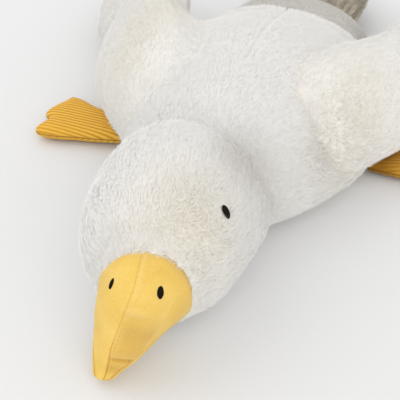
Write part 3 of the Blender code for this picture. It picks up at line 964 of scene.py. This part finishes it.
def beak_surface():
    """Rings carried along the beak's drooping line, with closer points round its ridge.

    A ring at angle a is half width * cos(a) ^ 0.96 across and half depth * sin(a) ^ 0.92 up, leaning by
    the section's slope. Returns the points, the angle round each ring and the share along the beak.
    """
    rows = catmull_rom(beak_rows(), BEAK_STEPS)
    even = np.linspace(0, 2 * math.pi, BEAK_COLUMNS, endpoint=False)[None, :]
    angle = even - 0.6 * np.sin(even - math.radians(92))
    c, s = np.cos(angle), np.sin(angle)
    side, forward, z, half, deep, slope = (rows[:, i:i + 1] for i in range(6))
    across = half * np.sign(c) * np.abs(c) ** 0.96
    above = deep * np.sign(s) * np.abs(s) ** 0.92
    places = head_points(side + across, forward + above * np.sin(slope), z + above * np.cos(slope))
    share = np.linspace(0, 1, len(rows))[:, None] + 0 * angle
    return places, angle + 0 * share, share


def turned_by(degrees, line):
    """Turn from a line to each angle round the ring, in radians between -pi and pi."""
    return -np.angle(np.exp(1j * np.radians(line - degrees)))


def across_beak(share, form):
    """A rise or dip across the beak: its height times a hump along the beak."""
    place, width, height = form
    return height * hump(share - place, width)


def beak_seams(share, arc, to_ridge, to_edges):
    """Relief and painted shade of the seams: each is pressed in between two low swells, with stitches at its
    side, and its groove and stitches are darkened as painted shade.

    The stitches lie beside the ridge seam and one edge seam and come and go as a cosine along the beak.
    """
    lift = np.zeros_like(share)
    shade = np.zeros_like(share)
    deep = BEAK_SEAM_DEPTH * (0.5 + 0.5 * smooth_step(0.40, 0.62, share))
    ridge_shade = 0.25 + 0.25 * smooth_step(0.35, 0.60, share)
    for distance, width, dark in (
        (to_ridge, BEAK_RIDGE_WIDTH, ridge_shade),
        (to_edges[0], BEAK_EDGE_WIDTH, 0.7),
        (to_edges[1], BEAK_EDGE_WIDTH, 0.7),
    ):
        line = hump(distance, width)
        lift += 0.0003 * hump(np.abs(distance) - 0.0020, 0.0014) - deep * line
        shade += dark * line
    stitch = 0.5 + 0.5 * np.cos(arc * 2 * math.pi / BEAK_STITCH)
    for distance in (-to_ridge, to_edges[0]):
        beside = hump(distance - BEAK_STITCH_ASIDE, 0.0005) * smooth_step(0.30, 0.45, share) * stitch
        lift -= BEAK_STITCH_DEPTH * beside
        shade += 0.30 * beside
    lift += 0.0005 * hump(to_ridge + 0.0022, 0.0012) * (1 - smooth_step(0.15, 0.5, share))
    return lift, shade


def build_beak(finish):
    """The beak's surface moved along its normals by its seams, fold, crease and the tuck at its rim.

    Panel is the front between the seams and fold a narrower part of it beside the ridge, both as humps
    round the ring. The painted shade and the painted sheen of the velour are worked out here and kept with
    the points.
    """
    places, angle, share = beak_surface()
    rows, columns = angle.shape
    down_rows = np.gradient(places, axis=0)
    round_rings = np.roll(places, -1, axis=1) - np.roll(places, 1, axis=1)
    out = unit(np.cross(round_rings, down_rows))
    middle = places.mean(axis=1, keepdims=True)
    out *= np.sign(np.sum(out * (places - middle), axis=2, keepdims=True).mean(axis=1, keepdims=True))
    radius = np.linalg.norm(places - middle, axis=2)
    degrees = np.degrees(angle)
    along = share[:, 0]
    ridge = np.interp(along, BEAK_RIDGE[:, 0], BEAK_RIDGE[:, 1])[:, None]
    edge = np.interp(along, BEAK_EDGE[:, 0], BEAK_EDGE[:, 1])[:, None]
    to_ridge = turned_by(degrees, ridge) * radius
    to_edges = (turned_by(degrees, edge) * radius, turned_by(180 - degrees, edge) * radius)
    steps = np.linalg.norm(np.diff(middle[:, 0], axis=0), axis=1)
    arc = np.concatenate([[0.0], np.cumsum(steps)])[:, None]
    lift, shade = beak_seams(share, arc, to_ridge, to_edges)

    panel = hump(degrees - 58, 33, 6)
    fold = hump(degrees - 74, 17)
    lift += panel * (across_beak(share, TIP_BULGE) + across_beak(share, TIP_CREASE))
    lift += fold * (across_beak(share, FOLD_RISE) + across_beak(share, FOLD_DIP))
    lift += BEAK_UNEVEN * ripples(places.reshape(-1, 3), 0.034, 71)[0].reshape(rows, columns)
    rim = 0.098 + 0.046 * (1 - np.sin(angle))
    seen_side = smooth_step(-0.75, -0.35, np.cos(angle - math.radians(35)))
    lift -= BEAK_TUCK * seen_side * (1 - smooth_step(0.0, 0.055, share - rim))
    lift += 0.0011 * hump(degrees - 175, 40) * hump(share - 0.16, 0.05)

    # Painted shade: in the tip's crease, at the rim under the plush, beside the ridge on the bird's left
    # away from the key light, and over that side of the front below the crease and at its middle
    shade += panel * 0.55 * hump(share - 0.590, 0.018)
    shade += 0.35 * (1 - smooth_step(0.008, 0.020, share - rim)) + 0.10 * smooth_step(0.0, 0.003, -to_ridge)
    shade += 0.42 * plateau((0.58, 0.66), (0.66, 0.80), share) * panel
    shade += 0.40 * plateau((0.30, 0.42), (0.50, 0.60), share) * panel
    # Painted sheen: a band low on the bird's left side of the beak, on the rise of the fold and on the lip
    # beside the ridge
    painted_sheen = hump(degrees - 20, 20) * plateau((0.18, 0.30), (0.50, 0.56), share)
    painted_sheen += 0.7 * fold * hump(share - 0.322, 0.016)
    painted_sheen += 0.6 * hump(to_ridge + 0.0020, 0.0012) * (1 - smooth_step(0.18, 0.40, share))

    points = places + out * lift[:, :, None]
    points[:, :, 2] = np.maximum(points[:, :, 2], 0.0)
    flat = np.vstack([points.reshape(-1, 3), points[0].mean(axis=0), points[-1].mean(axis=0)])
    faces = [
        grid_faces(rows, columns)[:, ::-1],
        fan_faces(columns, 0, rows * columns, False),
        fan_faces(columns, (rows - 1) * columns, rows * columns + 1, True),
    ]
    beak = add_mesh("beak_velour", flat, faces, finish)
    keep_value(beak, "shade", np.append(np.clip(shade, 0, 1).ravel(), [0.0, 0.0]))
    keep_value(beak, "painted_sheen", np.append(np.clip(painted_sheen, 0, 1).ravel(), [0.0, 0.0]))
    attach(beak, "root")
    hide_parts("beak")


# Embroidered eyes and nostrils
OVAL_VOXEL = 0.0004
OVAL_STITCH = 0.0007
OVAL_STITCH_RISE = 0.00012


def build_oval(node, around, sink, finish, longer=1.0, wider=1.0, thicker=1.0):
    """Satin stitches side by side across an oval pad that follows its solid, pressed into the pile.

    The pad's points are moved along their normals by a cosine of the distance along it. The pad is drawn
    longer, wider or thicker along its own axes and sunk towards the place that it lies around.
    """
    low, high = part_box(node)
    piece = cover_from_solids([node], node + "_stitches", finish, OVAL_VOXEL)
    points, normals, _ = surface_of(piece)
    middle = points.mean(axis=0)
    axes = np.linalg.eigh((points - middle).T @ (points - middle))[1]
    along, across, through = ((points - middle) @ axes[:, i:i + 1] for i in (2, 1, 0))
    stitches = OVAL_STITCH_RISE * np.cos(along * 2 * math.pi / OVAL_STITCH)
    drawn = along * longer * axes[:, 2] + across * wider * axes[:, 1] + through * thicker * axes[:, 0]
    outwards = unit(np.array((low + high) / 2) - around)
    set_points(piece, middle + drawn + normals * stitches - outwards * sink)
    piece.data.shade_smooth()
    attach(piece, "root")
    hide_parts(node)


# Feet
FOOT_LENGTH = 0.073
FOOT_SPREAD = 0.053
FOOT_HEEL = 0.024
FOOT_THICKNESS = 0.017
FOOT_TUCK = 0.011
TORSO_WIDTH = 0.216
FOOT_LEFT_Y = 0.176
FOOT_RIGHT_Y = 0.143
FOOT_LEFT_TURN = math.radians(-14)
FOOT_RIGHT_TURN = 0.0
FOOT_OUTLINE_STEPS = 12
FOOT_INSET_POWER = 0.45
FOOT_RISE_POWER = 0.9
RIB_PITCH = 0.0032
RIB_HEIGHT = 0.00050
LOWER_RIB_LEAN = 0.35
RIM_SEAM_DEPTH = 0.0004


def foot_outline():
    """The webbed outline, u outwards from the heel and v across, drawn smoothly through its corners."""
    heel, half = FOOT_HEEL / 2, FOOT_SPREAD / 2
    corners = np.array([
        (0.00, heel), (0.28, heel + 0.38 * (half - heel)), (0.50, half * 0.78), (0.74, half * 0.95),
        (0.92, half * 0.99), (0.985, half * 0.86), (0.95, half * 0.58), (0.912, half * 0.33),
        (0.945, half * 0.18), (1.00, half * 0.05), (0.995, -half * 0.18), (0.96, -half * 0.41),
        (0.875, -half * 0.84), (0.85, -half * 1.01), (0.77, -half * 1.03), (0.68, -half * 0.97),
        (0.46, -half * 0.74), (0.26, -heel - 0.40 * (half - heel)), (0.00, -heel),
    ]) * (FOOT_LENGTH, 1.0)
    loop = np.vstack([corners, corners[0]])
    return catmull_rom(loop, FOOT_OUTLINE_STEPS)[:-1]


def foot_panel(side, y, turn, upper):
    """Half of a padded foot: the outline drawn in towards the middle while it rises.

    At turn t the outline is scaled by cos(t) ^ 0.45 and raised by half the thickness * sin(t) ^ 0.9. Ribs
    are cosines of the distance across the cloth, measured from the middle over the curved panel, and fade
    out towards the rim. Returns the points and the ribs' height from 0 to 1, rings from the rim inwards.
    """
    outline = foot_outline()
    middle = np.array([FOOT_LENGTH * 0.60, 0.0])
    steep = np.radians(np.linspace(0, 57, 11))
    insets = np.linspace(math.cos(math.radians(60)) ** FOOT_INSET_POWER, 0.003, 34)
    turns = np.concatenate([steep, np.arccos(insets ** (1 / FOOT_INSET_POWER))])
    inset = np.cos(turns) ** FOOT_INSET_POWER
    rise = np.sin(turns) ** FOOT_RISE_POWER
    flat = middle + (outline[None, :, :] - middle) * inset[:, None, None]
    u, v = flat[..., 0], flat[..., 1]
    reach = np.linalg.norm(outline - middle, axis=1)[None, :]
    half = FOOT_THICKNESS / 2
    steps = np.hypot(np.diff(inset)[:, None] * reach, np.diff(rise)[:, None] * half)
    climbed = np.vstack([np.zeros_like(reach), np.cumsum(steps, axis=0)])
    ways = (outline - middle)[None, :, :] / reach[:, :, None]
    cloth = middle + ways * (climbed[-1] - climbed)[:, :, None]
    lean = 0.0 if upper else LOWER_RIB_LEAN
    across = cloth[..., 1] * math.cos(lean) + cloth[..., 0] * math.sin(lean)
    rib = 0.5 + 0.5 * np.cos(2 * math.pi * across / RIB_PITCH)
    strength = smooth_step(0.0, 0.25, rise)[:, None]
    puff = half * rise[:, None] * (0.86 if upper else 0.90)
    puff = puff + RIB_HEIGHT * (rib - 1) * strength - RIM_SEAM_DEPTH * hump(turns, 0.12)[:, None]
    height = np.maximum(half + puff * (1 if upper else -1), 0.0002)
    c, s = math.cos(turn), math.sin(turn)
    x = side * (TORSO_WIDTH / 2 - FOOT_TUCK + u * c - v * s)
    points = HEAD + np.stack([x, y - (u * s + v * c), height], axis=-1)
    return points, rib * strength + 0.25 * (1 - strength)


def build_foot(side, y, turn, finish):
    """Both panels as one closed cushion. Their rims are a hair apart and joined by the rim's own faces."""
    name = "foot_left" if side > 0 else "foot_right"
    upper, upper_rib = foot_panel(side, y, turn, True)
    lower, lower_rib = foot_panel(side, y, turn, False)
    points = np.concatenate([upper[::-1], lower])
    ribs = np.concatenate([upper_rib[::-1], lower_rib])
    rows, columns = ribs.shape
    turned = side < 0
    flat = np.vstack([points.reshape(-1, 3), points[0].mean(axis=0), points[-1].mean(axis=0)])
    quads = grid_faces(rows, columns)
    faces = [
        quads[:, ::-1] if turned else quads,
        fan_faces(columns, 0, rows * columns, not turned),
        fan_faces(columns, (rows - 1) * columns, rows * columns + 1, turned),
    ]
    foot = add_mesh(name + "_corduroy", flat, faces, finish)
    keep_value(foot, "rib", np.append(ribs.ravel(), [0.5, 0.5]))
    # Painted shade where the left foot lies under its wing
    aside = np.abs(flat[:, 0] - HEAD[0])
    under_wing = smooth_step(0.150, 0.105, aside) * (side > 0)
    keep_value(foot, "shade", np.clip(under_wing, 0.0, 1.0))
    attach(foot, "root")
    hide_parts(name)


# Floor, light and camera
def add_sun(name, towards, strength):
    """Even light from one side through a wide diffuser."""
    lamp = bpy.data.lights.new(name, "SUN")
    lamp.angle = LIGHT_SPREAD
    lamp.energy = strength
    light = bpy.data.objects.new(name, lamp)
    light.rotation_mode = "QUATERNION"
    light.rotation_quaternion = Vector(towards).to_track_quat("Z", "Y")
    bpy.context.scene.collection.objects.link(light)


def build_stage():
    """A wide pale floor, a white world and two suns."""
    made, _, _ = principled("floor_paint", (FLOOR_TONE, FLOOR_TONE, FLOOR_TONE), 0.9, specular=0.1)
    half = FLOOR_HALF
    corners = np.array([(-half, -half, 0), (half, -half, 0), (half, half, 0), (-half, half, 0)])
    floor = add_mesh("floor", corners - (0, 0, 0.0002), np.array([[0, 1, 2, 3]]), made, smooth=False)
    world = bpy.data.worlds.new("studio")
    world.use_nodes = True
    world.node_tree.nodes["Background"].inputs["Color"].default_value = (1.0, 1.0, 1.0, 1.0)
    world.node_tree.nodes["Background"].inputs["Strength"].default_value = WORLD_LIGHT
    bpy.context.scene.world = world
    add_sun("key", KEY_TOWARDS, KEY_LIGHT)
    add_sun("fill", FILL_TOWARDS, FILL_LIGHT)
    bpy.context.scene.view_settings.view_transform = "Standard"


def build_camera():
    """The camera looks down on the head from before the beak, a little from the bird's left."""
    a, e = CAMERA_AZIMUTH, CAMERA_ELEVATION
    right = Vector((math.cos(a), math.sin(a), 0.0))
    back = Vector((math.sin(a) * math.cos(e), -math.cos(a) * math.cos(e), math.sin(e)))
    lens = bpy.data.cameras.new("camera")
    lens.sensor_width = CAMERA_SENSOR
    lens.lens = CAMERA_LENS
    lens.clip_start = 0.01
    camera = bpy.data.objects.new("camera", lens)
    turned = Matrix((right, back.cross(right), back)).transposed().to_4x4()
    turned.translation = Vector(HEAD + CAMERA_OFFSET)
    camera.matrix_world = turned
    bpy.context.scene.collection.objects.link(camera)
    bpy.context.scene.camera = camera


def main():
    """Builds the stage and the camera, then each cloth and the pieces that are sewn of it."""
    build_stage()
    build_camera()
    white_backing = plush_backing("white_backing", *WHITE_BACKING)
    white_fibre = pile_fibre("white_pile", *WHITE_FIBRE)
    grey_backing = plush_backing("grey_backing", *GREY_BACKING)
    grey_fibre = pile_fibre("grey_pile", *GREY_FIBRE)
    taupe_backing = plush_backing("taupe_backing", *TAUPE_BACKING)
    taupe_fibre = pile_fibre("taupe_pile", *TAUPE_FIBRE)
    build_white_plush(white_backing, white_fibre)
    build_rump_and_tail(grey_backing, grey_fibre, taupe_backing, taupe_fibre)
    yellow = velour("yellow_velour_cloth")
    dark = stitch_thread("dark_stitches", THREAD_DARK)
    build_beak(yellow)
    build_oval("nostril_left", BEAK_BASE, 0.0004, dark, longer=0.97, wider=0.95)
    build_oval("nostril_right", BEAK_BASE, 0.0004, dark, longer=0.88, wider=0.66)
    build_oval("eye_left", HEAD_CORE, 0.0012, dark, wider=1.14)
    build_oval("eye_right", HEAD_CORE, 0.0040, dark, thicker=0.45)
    ribbed = corduroy("mustard_ribs")
    build_foot(1, FOOT_LEFT_Y, FOOT_LEFT_TURN, ribbed)
    build_foot(-1, FOOT_RIGHT_Y, FOOT_RIGHT_TURN, ribbed)


main()
